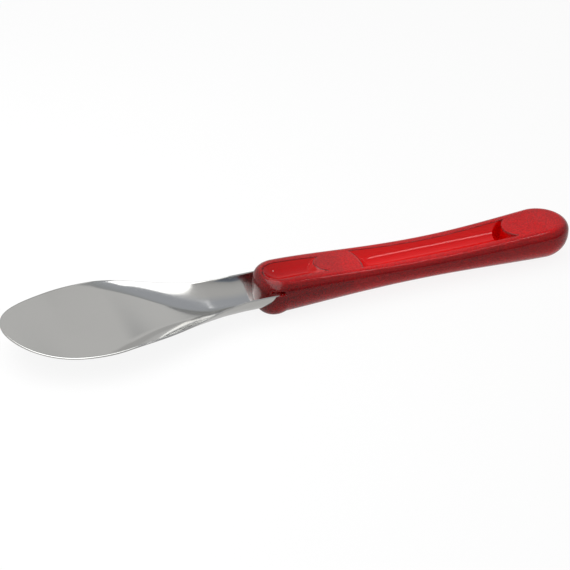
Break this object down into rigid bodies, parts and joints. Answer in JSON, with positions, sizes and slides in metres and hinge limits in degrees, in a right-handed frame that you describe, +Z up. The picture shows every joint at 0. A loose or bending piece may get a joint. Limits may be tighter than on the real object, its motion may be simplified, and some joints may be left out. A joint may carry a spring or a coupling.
{
  "type": "ice cream spatula",
  "caption": "Hand spatula with an oval stamped steel blade, a neck pressed into a gutter, and a hollowed translucent red handle.",
  "frame": {"origin": "on the table, below the middle of the spatula's whole length and width", "axes": "+X from the blade's tip to the handle's butt, +Y across the blade, +Z up from the table"},
  "size_m": [0.2606, 0.0588, 0.0173],
  "materials": {
    "steel": "satin",
    "red_plastic": "gloss, translucent"
  },
  "bodies": {
    "root": {"blade": "steel", "handle": "red_plastic"}
  },
  "joints": []
}
